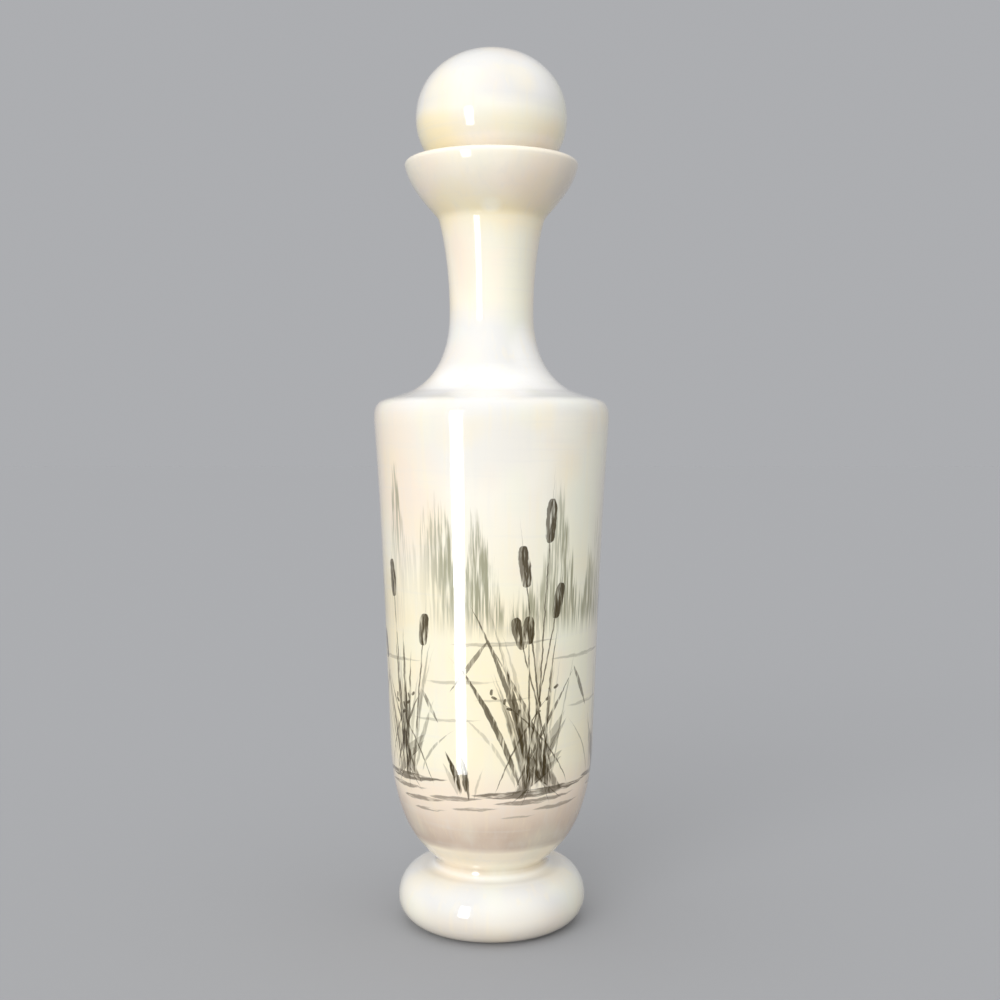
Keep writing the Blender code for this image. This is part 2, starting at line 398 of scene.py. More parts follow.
# %% [markdown]
# ## Sizes and outlines of the stopper
# The ball is a hollow casting that ends below in a short open stem. It is a little flatter than a
# sphere, and its crown a little fuller than an ellipse, as if the circle had been slightly squared.
# A tapered cork is glued into the stem and seats in the neck.

# %% Outline of the ball
ball_low, ball_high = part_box("stopper_ball")
cork_low, cork_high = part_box("stopper_cork")
BALL_RADIUS = ball_high[0]
BALL_HALF_HEIGHT = 0.0257
BALL_CENTRE = (0.0, ball_high[2] - BALL_HALF_HEIGHT)
BALL_WALL = 0.0036
STEM_BORE = 0.0146
STEM_RADIUS = STEM_BORE + BALL_WALL
STEM_EDGE = 0.0009
STEM_FILLET = (0.0028, 0.0032)
STEM_FILLET_SHARES = ((0.60, 0.38), (1.0, 0.45))
CROWN_POWER = 2.07


def fuller(share):
    """A sine or cosine as the crown's slightly squared circle has it."""
    return math.copysign(abs(share) ** (2 / CROWN_POWER), share)


def crown_run(centre, radii, steps):
    """Places from the top of the ball down to its widest ring, a little fuller than an ellipse."""
    angles = [math.pi / 2 * (1 - step / steps) for step in range(steps + 1)]
    return [(centre[0] + radii[0] * fuller(math.cos(a)), centre[1] + radii[1] * fuller(math.sin(a)))
            for a in angles]


def ball_outline():
    """Closed outline of the ball and its stem, down the inside and up the outside to the top."""
    radii = (BALL_RADIUS, BALL_HALF_HEIGHT)
    inner_radii = (radii[0] - BALL_WALL, radii[1] - BALL_WALL)
    low_angle = -math.acos((STEM_RADIUS + STEM_FILLET[0]) / radii[0])
    outside = crown_run(BALL_CENTRE, radii, steps=30)
    outside[0] = (0.0, BALL_CENTRE[1] + radii[1])
    outside += arc_run(BALL_CENTRE, radii, 0.0, low_angle, steps=22)[1:]
    fillet_end = (STEM_RADIUS, outside[-1][1] - STEM_FILLET[1])
    outside += curve_run(outside[-1], fillet_end, STEM_FILLET_SHARES, steps=8)
    edge_centre = (STEM_RADIUS - STEM_EDGE, ball_low[2] + STEM_EDGE)
    outside += arc_run(edge_centre, (STEM_EDGE, STEM_EDGE), 0.0, -math.pi / 2, steps=6)
    inner_angle = -math.acos(STEM_BORE / inner_radii[0])
    inside = arc_run(BALL_CENTRE, inner_radii, inner_angle, math.pi / 2, steps=24)
    inside[-1] = (0.0, BALL_CENTRE[1] + inner_radii[1])
    return list(reversed(outside + [(STEM_BORE, ball_low[2])] + inside))


print("outline of the ball has", len(ball_outline()), "places")

# %% Outline of the cork
GLUE_GAP = 0.0003
CORK_RADIUS = STEM_BORE - GLUE_GAP
CORK_TAPER_HEIGHT = 0.0247
CORK_LOW_RADIUS = 0.0124
CORK_CHAMFER = 0.0008
STRAIGHT = ((0.3333, 0.3333), (0.6667, 0.6667))


def cork_outline():
    """Closed outline of the cork, from its lower end up, with rows close enough for its pores."""
    low, high = cork_low[2], cork_high[2]
    outline = [(0.0, low)]
    for end, steps in (((CORK_LOW_RADIUS - CORK_CHAMFER, low), 18),
                       ((CORK_LOW_RADIUS, low + CORK_CHAMFER), 3),
                       ((CORK_RADIUS, low + CORK_TAPER_HEIGHT), 44),
                       ((CORK_RADIUS, high - CORK_CHAMFER), 20),
                       ((CORK_RADIUS - CORK_CHAMFER, high), 3),
                       ((0.0, high), 18)):
        outline += curve_run(outline[-1], end, STRAIGHT, steps)
    return outline


print("outline of the cork has", len(cork_outline()), "places")

# %% [markdown]
# ## The glaze
# A lustre glaze is white under a clear, glossy skin, with a breath of metal fired onto it. It isn't
# one colour. It is chalky on the shoulder, warmer down the body and in the neck, and butter yellow
# low on the ball, so a colour ramp along the height sets the tone. The same ramp also paints light
# and shade: a painted shade in the crease at the waist, a dark band on the bowl that paints the shade
# and the reflection of a dark table, and a white ring of painted light on the shoulder. Over that lie
# a few broad patches. Most are tint, and some paint shade down the right side and on the bowl, light
# on the flare and the ball, and a reflection low on the cup. Slow clouds drift between yellow, pink
# and pale green. A noise stretched along the height makes the faint streaks where the glaze ran down
# the wall, and one stretched round the wall makes the rings that a brush leaves on a turning wheel.

# %% Glaze colours and painted light
CHALK = (0.785, 0.777, 0.755, 1.0)
MIST = (0.755, 0.748, 0.728, 1.0)
MILK = (0.880, 0.870, 0.850, 1.0)
# painted light: a whiter ring on the shoulder, and patches on the flare and the ball where shade falls
PAINTED_LIGHT = (0.930, 0.920, 0.900, 1.0)
# painted reflection: a pale oval low on the cup
PAINTED_REFLECTION = (1.000, 0.930, 0.740, 1.0)
ROSE = (0.985, 0.895, 0.770, 1.0)
IVORY = (0.920, 0.885, 0.790, 1.0)
SHELL = (0.970, 0.915, 0.780, 1.0)
PEACH = (0.930, 0.860, 0.725, 1.0)
CREAM = (0.925, 0.865, 0.670, 1.0)
STRAW = (0.990, 0.890, 0.710, 1.0)
# painted shade in the crease where the waist meets the foot
CREASE_SHADE = (0.645, 0.565, 0.450, 1.0)
HONEY = (0.955, 0.862, 0.665, 1.0)
BUTTER = (0.970, 0.850, 0.570, 1.0)
BLUSH = (0.920, 0.790, 0.650, 1.0)
# the tone of the low foot, and painted shade down the right side of the barrel and the cup
OAT_AND_SHADE = (0.790, 0.735, 0.655, 1.0)
# painted shade and a painted reflection of a dark table: a dark band on the bowl with a sharp lower edge,
# and dark patches low on the right and on the bowl
PAINTED_SHADE = (0.630, 0.500, 0.395, 1.0)
CELADON = (0.870, 0.890, 0.740, 1.0)

# height in metres and the tone there
# on the waist a ring of painted shade in the crease, on the bowl a dark band of painted shade and painted
# reflection with a sharp lower edge, and on the shoulder a white ring of painted light
BOTTLE_TONES = [
    (0.000, OAT_AND_SHADE), (0.009, OAT_AND_SHADE), (0.015, MIST), (0.0206, MIST), (0.0212, MILK), (0.0220, MILK),
    (0.0234, CREASE_SHADE), (0.0246, CREASE_SHADE), (0.0264, STRAW), (0.0342, STRAW), (0.0352, PAINTED_SHADE), (0.043, PAINTED_SHADE),
    (0.055, BLUSH), (0.068, CREAM), (0.120, CREAM), (0.165, IVORY), (0.192, IVORY), (0.197, CHALK),
    (0.2005, PAINTED_LIGHT), (0.2070, PAINTED_LIGHT), (0.213, MIST), (0.226, CHALK), (0.236, PEACH), (0.258, PEACH),
    (0.268, BUTTER), (0.276, ROSE), (0.286, SHELL),
]
BALL_TONES = [
    (0.290, ROSE), (0.2936, ROSE), (0.2956, HONEY), (0.2985, HONEY), (0.3035, IVORY), (0.308, CHALK),
    (0.314, MIST),
]
print(len(BOTTLE_TONES), "tones up the bottle and", len(BALL_TONES), "up the ball")

# %% Tools for tints
OVERALL_HEIGHT = model_box[1][2]
WALL_REFERENCE_RADIUS = 0.0415


def wall_places(tree):
    """Round the wall and up it, in metres: zero is the front, and the seam lies at the back."""
    coordinate = add_node(tree, "ShaderNodeTexCoord").outputs["Object"]
    place = add_node(tree, "ShaderNodeSeparateXYZ", {"Vector": coordinate}).outputs
    towards_front = math_node(tree, "MULTIPLY", place["Y"], -1.0)
    angle = math_node(tree, "ARCTAN2", place["X"], towards_front)
    return math_node(tree, "MULTIPLY", angle, WALL_REFERENCE_RADIUS), place["Z"]


def faded(tree, value, low, high, top=1.0):
    """The value's way from low to high as a smooth share, up to top."""
    node = add_node(tree, "ShaderNodeMapRange",
                    {"Value": value, "From Min": low, "From Max": high, "To Max": top},
                    interpolation_type="SMOOTHSTEP")
    return node.outputs["Result"]


def cloud(tree, scale, offset, detail=1.0, stretch=(1.0, 1.0, 1.0)):
    """A soft noise on the object's own coordinates, moved by offset and stretched along an axis."""
    coordinate = add_node(tree, "ShaderNodeTexCoord").outputs["Object"]
    mapped = add_node(tree, "ShaderNodeMapping",
                      {"Vector": coordinate, "Location": (offset, offset, 0.0), "Scale": stretch})
    noise = add_node(tree, "ShaderNodeTexNoise",
                     {"Vector": mapped.outputs[0], "Scale": scale, "Detail": detail, "Roughness": 0.5})
    return noise.outputs[0]


def tinted(tree, share, base, tint):
    """Mix a tint into a base colour by a share; sockets 6 and 7 are the node's two colours."""
    return add_node(tree, "ShaderNodeMix", {0: share, 6: base, 7: tint}, data_type="RGBA").outputs[2]


def tone_along(tree, height, tones):
    """A colour ramp whose stops are heights in metres."""
    share = math_node(tree, "DIVIDE", height, OVERALL_HEIGHT)
    ramp = add_node(tree, "ShaderNodeValToRGB", {"Fac": share})
    stops = ramp.color_ramp.elements
    while len(stops) < len(tones):
        stops.new(1.0)
    for stop, (place, tone) in zip(stops, tones):
        stop.position = place / OVERALL_HEIGHT
        stop.color = tone
    return ramp.outputs["Color"]


print("a tone's place is its share of", round(OVERALL_HEIGHT, 3), "m")

# %% Tint patches and painted light
MM = 0.001

# round the wall, height, reach round, reach up, in millimetres, then the tint and its strength; some tints
# are painted light and shade
# painted shade: the dark patches on the bowl and low on the right, and the oat patches down the right side
# of the barrel and the cup; painted light: the white patch on the flare; painted reflection: the pale oval
# low on the cup
BOTTLE_PATCHES = [
    (-56, 176, 34, 44, BLUSH, 0.60), (-52, 104, 30, 46, BUTTER, 0.65), (-34, 168, 22, 34, BLUSH, 0.75),
    (38, 132, 28, 78, CELADON, 0.60), (4, 100, 26, 40, BUTTER, 0.35), (-6, 186, 30, 22, CHALK, 0.50),
    (-18, 52, 34, 14, BLUSH, 0.50), (-26, 272, 22, 8, BUTTER, 0.60), (34, 278, 32, 14, BLUSH, 0.60),
    (-38, 282, 22, 10, BLUSH, 0.50), (-26, 252, 18, 20, BLUSH, 0.70), (28, 240, 26, 30, CELADON, 0.55),
    (98, 120, 38, 70, BLUSH, 0.45), (-104, 84, 40, 52, CELADON, 0.50), (-100, 176, 36, 30, BUTTER, 0.45),
    (104, 250, 40, 20, BUTTER, 0.45), (96, 44, 44, 18, CELADON, 0.40), (10, 12, 22, 9, IVORY, 0.50),
    (-48, 10, 24, 12, IVORY, 0.60), (52, 12, 26, 12, CELADON, 0.35), (0, 269.2, 9, 3.2, PAINTED_REFLECTION, 1.00),
    (64, 58, 24, 36, PAINTED_SHADE, 0.45), (-62, 46, 26, 12, PAINTED_SHADE, 0.85), (36, 216, 24, 14, PAINTED_LIGHT, 0.80),
    (54, 281, 22, 12, OAT_AND_SHADE, 0.70), (62, 128, 22, 84, OAT_AND_SHADE, 0.60),
]
# the white patch on the ball's right side is painted light
BALL_PATCHES = [
    (-44, 294, 34, 12, BUTTER, 1.00), (-10, 298, 18, 7, CHALK, 0.30), (66, 306, 30, 22, CELADON, 0.50),
    (-36, 312, 40, 10, IVORY, 0.20), (120, 312, 50, 18, BLUSH, 0.40), (-110, 306, 40, 16, CELADON, 0.40),
    (34, 316, 26, 13, PAINTED_LIGHT, 0.45),
]

# noise scale, offset, tint and strength, and the range of the noise in which a cloud fades in
CLOUDS = [(46.0, 0.31, BUTTER, 0.28), (52.0, 0.77, BLUSH, 0.25), (48.0, 1.43, CELADON, 0.35)]
CLOUD_EDGE = (0.52, 0.74)
STREAK_STRETCH = (1.0, 1.0, 0.035)
RING_STRETCH = (0.05, 0.05, 1.0)

# where the noise begins to tint, where the tint is full, and its strength
PALE_STREAKS = (0.50, 0.75, 0.14)
YELLOW_STREAKS = (0.48, 0.25, 0.14)
PALE_RINGS = (0.52, 0.75, 0.16)


def patched(tree, colour, patches):
    """Lay soft round patches of tint, some of them painted light and shade, over a colour."""
    round_wall, height = wall_places(tree)
    for across, up, reach_across, reach_up, tint, strength in patches:
        side = math_node(tree, "MULTIPLY_ADD", round_wall, 1 / (reach_across * MM), -across / reach_across)
        rise = math_node(tree, "MULTIPLY_ADD", height, 1 / (reach_up * MM), -up / reach_up)
        squared = math_node(tree, "MULTIPLY_ADD", side, side, math_node(tree, "MULTIPLY", rise, rise))
        colour = tinted(tree, faded(tree, squared, 1.0, 0.0, strength), colour, tint)
    return colour


def glaze_tint(tree, tones, patches):
    """The drifting colour of the glaze, with its painted light and shade."""
    height = wall_places(tree)[1]
    colour = patched(tree, tone_along(tree, height, tones), patches)
    for scale, offset, tint, strength in CLOUDS:
        colour = tinted(tree, faded(tree, cloud(tree, scale, offset), *CLOUD_EDGE, strength), colour, tint)
    streaks = cloud(tree, scale=420.0, offset=2.1, detail=2.0, stretch=STREAK_STRETCH)
    colour = tinted(tree, faded(tree, streaks, *PALE_STREAKS), colour, CHALK)
    colour = tinted(tree, faded(tree, streaks, *YELLOW_STREAKS), colour, BUTTER)
    rings = cloud(tree, scale=520.0, offset=4.4, detail=2.0, stretch=RING_STRETCH)
    return tinted(tree, faded(tree, rings, *PALE_RINGS), colour, CHALK)


print(len(BOTTLE_PATCHES), "patches on the bottle and", len(BALL_PATCHES), "on the ball")

# %% [markdown]
# ## Painting in ink
# The body carries a plain study of marsh plants, brushed in sepia ink under the clear skin. A brush
# stroke is a rule too: it starts at a foot, leans and bends, swells and runs out. One small node
# group holds that rule. Two sums of the wall's coordinates say how far along the stroke a place
# lies, as a share of its length, and how far to its side, in half widths. A Float Curve is the
# pressure of the brush along it, and a smooth range is its soft edge. Each stroke lets less light
# through, so crossing strokes darken each other. All links carry single numbers, which keeps nearly
# two hundred strokes small enough for the renderer.

# %% The brush
STROKE_INPUTS = ("Round Wall", "Height", "Along Round", "Along Up", "Along Start", "Side Round",
                 "Side Up", "Side Start", "Bend", "Edge", "Through", "Clear")


def brush_group(name, pressure):
    """A node group for one stroke; pressure lists the brush's width along it, as shares."""
    group = new_group(name, "ShaderNodeTree", dict.fromkeys(STROKE_INPUTS, "Float"), {"Clear": "Float"})
    given = group.nodes.new("NodeGroupInput").outputs
    wall, height = given["Round Wall"], given["Height"]
    along = math_node(group, "MULTIPLY_ADD", wall, given["Along Round"], given["Along Start"])
    along = math_node(group, "MULTIPLY_ADD", height, given["Along Up"], along)
    side = math_node(group, "MULTIPLY_ADD", wall, given["Side Round"], given["Side Start"])
    side = math_node(group, "MULTIPLY_ADD", height, given["Side Up"], side)
    squared = math_node(group, "MULTIPLY", along, along)
    distance = math_node(group, "ABSOLUTE", math_node(group, "MULTIPLY_ADD", squared, given["Bend"], side))
    curve = add_node(group, "ShaderNodeFloatCurve", {"Value": along})
    curve.mapping.use_clip = False
    line = curve.mapping.curves[0]
    while len(line.points) < len(pressure):
        line.points.new(0.5, 0.5)
    for point, (place, width) in zip(line.points, pressure):
        point.location = (place, width)
    curve.mapping.update()
    inside = math_node(group, "SUBTRACT", curve.outputs[0], distance)
    let_through = add_node(group, "ShaderNodeMapRange",
                           {"Value": inside, "From Max": given["Edge"], "To Min": 1.0,
                            "To Max": given["Through"]}, interpolation_type="SMOOTHSTEP")
    result = math_node(group, "MULTIPLY", let_through.outputs["Result"], given["Clear"])
    add_node(group, "NodeGroupOutput", {0: result})
    return group


LEAF_BRUSH = brush_group("leaf_brush", ((0.0, 0.30), (0.18, 0.80), (0.45, 1.0), (0.80, 0.50), (1.0, 0.0)))
BROAD_BRUSH = brush_group("broad_brush", ((0.0, 0.04), (0.14, 0.46), (0.42, 1.0), (0.76, 0.58), (1.0, 0.0)))
HEAD_BRUSH = brush_group("head_brush", ((0.0, 0.0), (0.10, 0.80), (0.30, 1.0), (0.88, 0.86), (1.0, 0.0)))
print("brushes:", LEAF_BRUSH.name, BROAD_BRUSH.name, HEAD_BRUSH.name)

# %% [markdown]
# The plants grow in clumps. A clump has a foot on the wall, a width and a height, and its blades are
# drawn at random from a fixed seed, so the study is the same each time. What the eye goes to first is
# listed one by one: the reed mace, each a thin stem, a thick brown head and a short spike, the broad
# leaves at the foot, the bent blades, the rushes with their small fruits, and the short strokes of
# the ground. All places are millimetres round the wall from the front, and up from the table.

# %% Where the plants stand
# foot, low end, spread, height, number of blades, seed
CLUMPS = [
    (19, 60, 10, 80, 20, 4),
    (-38, 64, 9, 60, 15, 9),
    (55, 62, 7, 50, 9, 15),
    (-9, 57, 5, 22, 8, 21),
    (-100, 62, 7, 44, 8, 33),
    (106, 60, 6, 30, 6, 40),
]

# foot, low end, lean in degrees, stem length, head length
REED_MACE = [
    (17, 60, 3, 104, 16),
    (22, 60, -7, 88, 15),
    (12, 61, 12, 74, 13),
    (26, 61, -16, 63, 12),
    (15, 60, -1, 62, 10),
    (-39, 63, -4, 78, 14),
    (-34, 63, 8, 60, 12),
    (-44, 63, -14, 52, 11),
    (55, 62, 4, 66, 12),
    (-99, 62, -5, 58, 11),
]

# foot, low end, lean in degrees, length, half width
BROAD_LEAVES = [
    (8, 57, 50, 27, 3.2),
    (12, 56, 26, 36, 3.6),
    (25, 56, -28, 38, 3.5),
    (31, 57, -56, 25, 3),
    (-46, 60, 40, 26, 2.9),
    (-30, 60, -44, 29, 3.2),
    (-37, 59, -12, 30, 2.8),
    (60, 58, -34, 22, 2.8),
]

# foot, low end, lean in degrees, length, bend share, fall in degrees, length of the fall
BENT_BLADES = [
    (25, 61, -20, 58, -0.12, -142, 24),
    (10, 61, 26, 48, 0.10, 150, 19),
    (-33, 63, -22, 40, -0.10, -146, 17),
    (-46, 63, 24, 36, 0.10, 148, 14),
]

# foot, low end, lean in degrees, stem length and bend share; fruits hang from the stem's upper part
RUSHES = [
    (2, 59, 20, 42, 0.22),
    (33, 60, -30, 46, -0.25),
    (-24, 61, -24, 34, -0.20),
    (-52, 62, 20, 34, 0.20),
]
FRUIT_SHARES = (0.74, 0.81, 0.88, 0.95, 1.0)
FRUIT_LENGTH = 2.3
FRUIT_TURN = 38.0

# left end, height, length, half width, ink
GROUND = [
    (-6, 57.2, 56, 1.70, 0.78), (2, 54.2, 38, 1.15, 0.62), (-60, 60.8, 44, 1.60, 0.78),
    (-54, 57.2, 28, 1.00, 0.62), (44, 59.8, 30, 1.30, 0.70), (-26, 55.4, 24, 1.10, 0.60),
    (18, 51.2, 26, 0.90, 0.50), (-42, 53.6, 24, 1.10, 0.62), (-16, 51.8, 20, 0.80, 0.50),
    (50, 55.6, 18, 0.80, 0.45), (-116, 60, 32, 0.90, 0.60), (94, 58.5, 28, 0.90, 0.60),
    (4, 48.6, 16, 0.60, 0.36), (-70, 57.6, 12, 0.65, 0.45), (-36, 50, 18, 0.80, 0.50),
    (-60, 104, 34, 0.90, 0.34), (-26, 98, 32, 0.80, 0.32), (-14, 112, 42, 0.95, 0.36),
    (24, 106, 38, 0.85, 0.34), (-32, 84, 30, 0.75, 0.30), (32, 88, 28, 0.80, 0.30),
    (-6, 92, 24, 0.65, 0.28), (88, 100, 36, 0.80, 0.30), (-114, 96, 32, 0.80, 0.30),
]
GROUND_SAG = -0.035
print(len(CLUMPS), "clumps,", len(REED_MACE), "reed mace and", len(BROAD_LEAVES), "broad leaves")

# %% Touches of the brush
# half width in millimetres and ink of each kind of stroke
STEM = (0.42, 0.85)
HEAD = (2.2, 0.80)
HEAD_SHADE = (1.5, 0.75)
RIB = (0.32, 0.75)
RISING = (0.80, 0.75)
FALLING = (0.95, 0.70)
RUSH = (0.45, 0.80)
FRUIT = (0.62, 0.88)
PALE_INK = 0.42

# a blade's length as a share of its clump's height, what the outermost blades lose of it, how far
# its foot strays, its lean in degrees at the clump's edge and how far that varies, and then its
# ranges of bend and half width, and its inks
BLADE_LENGTH_SHARES = (0.45, 1.0)
OUTER_LOSS_SHARE = 0.25
FOOT_STRAY = 2.0
OUTER_LEAN = 20.0
LEAN_STRAY = 6.0
BLADE_BEND_SHARES = (0.10, 0.42)
BLADE_HALF_WIDTHS = (0.55, 1.25)
BLADE_INKS = (0.30, 0.45, 0.80)

# the reed mace: the stem's length with its spike, and the dark side of the head, how far aside
# in millimetres and how long
SPIKE_SHARE = 1.16
SHADE_SIDE = 0.55
SHADE_SHARE = 0.98

# a broad leaf's bend, the width, length and turn in degrees of its shaded half, and how far below
# the leaf its rib begins
LEAF_BEND = 0.10
HALF_WIDTH_SHARE = 0.62
HALF_LENGTH_SHARE = 0.96
HALF_LEAN = 4.0
RIB_DROP = 3.0

# the drawn length of a blade that runs on past its fold, and of a rush past its last fruit
FOLD_SHARE = 1.03
RUSH_SHARE = 1.02
print("the finest stroke is", 2 * RIB[0], "mm wide and the broadest head", 2 * HEAD[0], "mm")

# %% Strokes of the plants


def stroke_of(foot, lean, length, touch, bend=0.0):
    """One stroke: foot, lean, length, half width, bend share and ink."""
    half_width, ink = touch
    return (foot, lean, length, half_width, bend, ink)


def tip_of(foot, lean, length, bend):
    """Where a stroke ends."""
    along = length * math.cos(lean) + bend * length * math.sin(lean)
    up = length * math.sin(lean) - bend * length * math.cos(lean)
    return (foot[0] + along, foot[1] + up)


def blade_strokes():
    """Random blades of every clump: foot, lean, length, half width, bend share and ink."""
    strokes = []
    for foot, low, spread, tall, blades, seed in CLUMPS:
        draw = random.Random(seed)
        for _ in range(blades):
            side = draw.uniform(-1.0, 1.0)
            length = tall * draw.uniform(*BLADE_LENGTH_SHARES) * (1.0 - OUTER_LOSS_SHARE * abs(side))
            place = (foot + side * spread, low + draw.uniform(-FOOT_STRAY, FOOT_STRAY))
            lean = UPRIGHT - math.radians(side * OUTER_LEAN + draw.uniform(-LEAN_STRAY, LEAN_STRAY))
            bend = side * draw.uniform(*BLADE_BEND_SHARES)
            ink = draw.choice(BLADE_INKS)
            strokes.append((place, lean, length, draw.uniform(*BLADE_HALF_WIDTHS), bend, ink))
    return strokes


def mace_strokes():
    """Stems and spikes, then heads, each with a darker side, of the reed mace."""
    stems, heads = [], []
    for across, low, lean_degrees, length, head in REED_MACE:
        lean = UPRIGHT - math.radians(lean_degrees)
        top = tip_of((across, low), lean, length, 0.0)
        stems.append(stroke_of((across, low), lean, length * SPIKE_SHARE, STEM))
        heads.append(stroke_of(top, lean + math.pi, head, HEAD))
        shaded = (top[0] + SHADE_SIDE * math.sin(lean), top[1] - SHADE_SIDE * math.cos(lean))
        heads.append(stroke_of(shaded, lean + math.pi, head * SHADE_SHARE, HEAD_SHADE))
    return stems, heads


def broad_strokes():
    """A pale leaf, a shaded half and a dark midrib for every broad leaf."""
    pale, ribs = [], []
    for across, low, lean_degrees, length, half_width in BROAD_LEAVES:
        lean = UPRIGHT - math.radians(lean_degrees)
        whole = (half_width, PALE_INK)
        pale.append(stroke_of((across, low), lean, length, whole, LEAF_BEND))
        half = (half_width * HALF_WIDTH_SHARE, PALE_INK)
        half_lean = lean - math.radians(HALF_LEAN)
        pale.append(stroke_of((across, low), half_lean, length * HALF_LENGTH_SHARE, half, LEAF_BEND))
        ribs.append(stroke_of((across, low - RIB_DROP), lean, length, RIB, LEAF_BEND))
    return pale, ribs


def bent_strokes():
    """Blades that have broken over: a rising stroke and a falling one from its tip."""
    strokes = []
    for across, low, lean_degrees, length, bend, fall_degrees, fall in BENT_BLADES:
        lean = UPRIGHT - math.radians(lean_degrees)
        strokes.append(stroke_of((across, low), lean, length * FOLD_SHARE, RISING, bend))
        tip = tip_of((across, low), lean, length, bend)
        strokes.append(stroke_of(tip, UPRIGHT - math.radians(fall_degrees), fall, FALLING))
    return strokes


def rush_strokes():
    """Arching stems, and small fruits that lean away from them on alternate sides."""
    stems, fruits = [], []
    for across, low, lean_degrees, length, bend in RUSHES:
        lean = UPRIGHT - math.radians(lean_degrees)
        stems.append(stroke_of((across, low), lean, length * RUSH_SHARE, RUSH, bend))
        for number, share in enumerate(FRUIT_SHARES):
            along = length * share
            sag = bend * length * share * share
            place = (across + along * math.cos(lean) + sag * math.sin(lean),
                     low + along * math.sin(lean) - sag * math.cos(lean))
            turn = math.radians(FRUIT_TURN if number % 2 else -FRUIT_TURN)
            fruits.append(stroke_of(place, lean + turn, FRUIT_LENGTH, FRUIT))
    return stems, fruits


def ground_strokes():
    """Level strokes of the ground, each with a slight sag."""
    return [stroke_of((left, height), 0.0, length, (half, ink), GROUND_SAG)
            for left, height, length, half, ink in GROUND]


print(len(blade_strokes()), "blades and", len(ground_strokes()), "strokes of the ground")

# %% [markdown]
# Ink on a glaze is never even. The wall's coordinates are shaken a little before the strokes read
# them, so edges waver, and a noise stretched along the height thins the ink as a dry brush does. A
# pale wash of fine upright lines with a ragged top stands for the far reeds.

# %% Ink over the glaze
SHAKE = 0.0011
SHAKE_SCALE = 260.0
EDGE_MM = 0.22
SOFT_EDGE_MM = 0.40


def paint(tree, wall, brush, strokes, clear, edge_mm=EDGE_MM):
    """Lay strokes over each other and return what light still gets through."""
    for (across, up), lean, length, half_width, bend, ink in strokes:
        stroke = add_node(tree, "ShaderNodeGroup", node_tree=brush)
        run, rise = math.cos(lean), math.sin(lean)
        fill(tree, stroke, {
            "Along Round": run / (length * MM), "Along Up": rise / (length * MM),
            "Along Start": -(across * run + up * rise) / length,
            "Side Round": -rise / (half_width * MM), "Side Up": run / (half_width * MM),
            "Side Start": (across * rise - up * run) / half_width,
            "Bend": bend * length / half_width, "Edge": edge_mm / half_width, "Through": 1.0 - ink,
            "Round Wall": wall[0], "Height": wall[1], "Clear": clear})
        clear = stroke.outputs["Clear"]
    return clear


def shaken_wall(tree):
    """The wall's two coordinates with a small wobble, as a hand gives them."""
    coordinate = add_node(tree, "ShaderNodeTexCoord").outputs["Object"]
    inputs = {"Vector": coordinate, "Scale": SHAKE_SCALE, "Detail": 2.0}
    wobble = add_node(tree, "ShaderNodeTexNoise", inputs)
    parts = add_node(tree, "ShaderNodeSeparateColor", {0: wobble.outputs["Color"]}).outputs
    shaken = []
    for place, part in zip(wall_places(tree), (parts[0], parts[1])):
        centred = math_node(tree, "SUBTRACT", part, 0.5)
        shaken.append(math_node(tree, "MULTIPLY_ADD", centred, SHAKE, place))
    return shaken


print("a stroke wavers by", round(SHAKE / MM / 2, 2), "mm at most")

# %% Far reeds and dry ink
SEPIA = (0.046, 0.029, 0.004, 1.0)
FAR_REEDS = (0.270, 0.265, 0.165, 1.0)
FAR_REEDS_INK = 0.85

# in metres: the water's height, the reeds' lowest tops, how far these swell, how ragged they are,
# and over what height the reeds fade out at both ends
WATER_HEIGHT = 0.112
BANK_LEAST = 0.066
BANK_SWELL = 0.150
RAGGED = 0.030
REED_FADE = 0.012

# where the noise of the beds and of the upright lines begins to show, and where it shows in full
BED_EDGE = (0.36, 0.54)
LINE_EDGE = (0.34, 0.60)

# how finely the dry brush breaks up, round the wall and up it, and where its ink begins and is full
GROUND_HAIRS = (140.0, 1100.0)
PLANT_HAIRS = (900.0, 110.0)
HAIR_EDGE = (0.25, 0.52)

# blades with less ink than this lie behind the others
PALE_LIMIT = 0.5


def far_reeds(tree, height):
    """How densely the pale upright lines of the far reeds lie."""
    lines = cloud(tree, scale=1100.0, offset=5.2, detail=3.0, stretch=(1.0, 1.0, 0.03))
    bank = cloud(tree, scale=60.0, offset=8.1, detail=2.0, stretch=(1.0, 1.0, 0.0))
    swell = math_node(tree, "MULTIPLY_ADD", bank, BANK_SWELL, BANK_LEAST)
    ragged_top = math_node(tree, "MULTIPLY_ADD", lines, RAGGED, swell)
    below_top = faded(tree, math_node(tree, "SUBTRACT", height, ragged_top), 0.0, -REED_FADE)
    above_water = faded(tree, height, WATER_HEIGHT, WATER_HEIGHT + REED_FADE)
    beds = faded(tree, cloud(tree, scale=24.0, offset=6.4, stretch=(1.0, 1.0, 0.2)), *BED_EDGE)
    grain = faded(tree, lines, *LINE_EDGE)
    return math_node(tree, "MULTIPLY", math_node(tree, "MULTIPLY", below_top, above_water),
                     math_node(tree, "MULTIPLY", beds, grain))


def dry_ink(tree, wall, clear, scales):
    """The ink's share where light is kept back, thinned along the brush; scales go round and up."""
    across = math_node(tree, "MULTIPLY", wall[0], scales[0])
    up = math_node(tree, "MULTIPLY", wall[1], scales[1])
    place = add_node(tree, "ShaderNodeCombineXYZ", {"X": across, "Y": up}).outputs[0]
    hairs = add_node(tree, "ShaderNodeTexNoise", {"Vector": place, "Scale": 1.0, "Detail": 3.0})
    covered = math_node(tree, "SUBTRACT", 1.0, clear)
    return math_node(tree, "MULTIPLY", covered, faded(tree, hairs.outputs[0], *HAIR_EDGE))


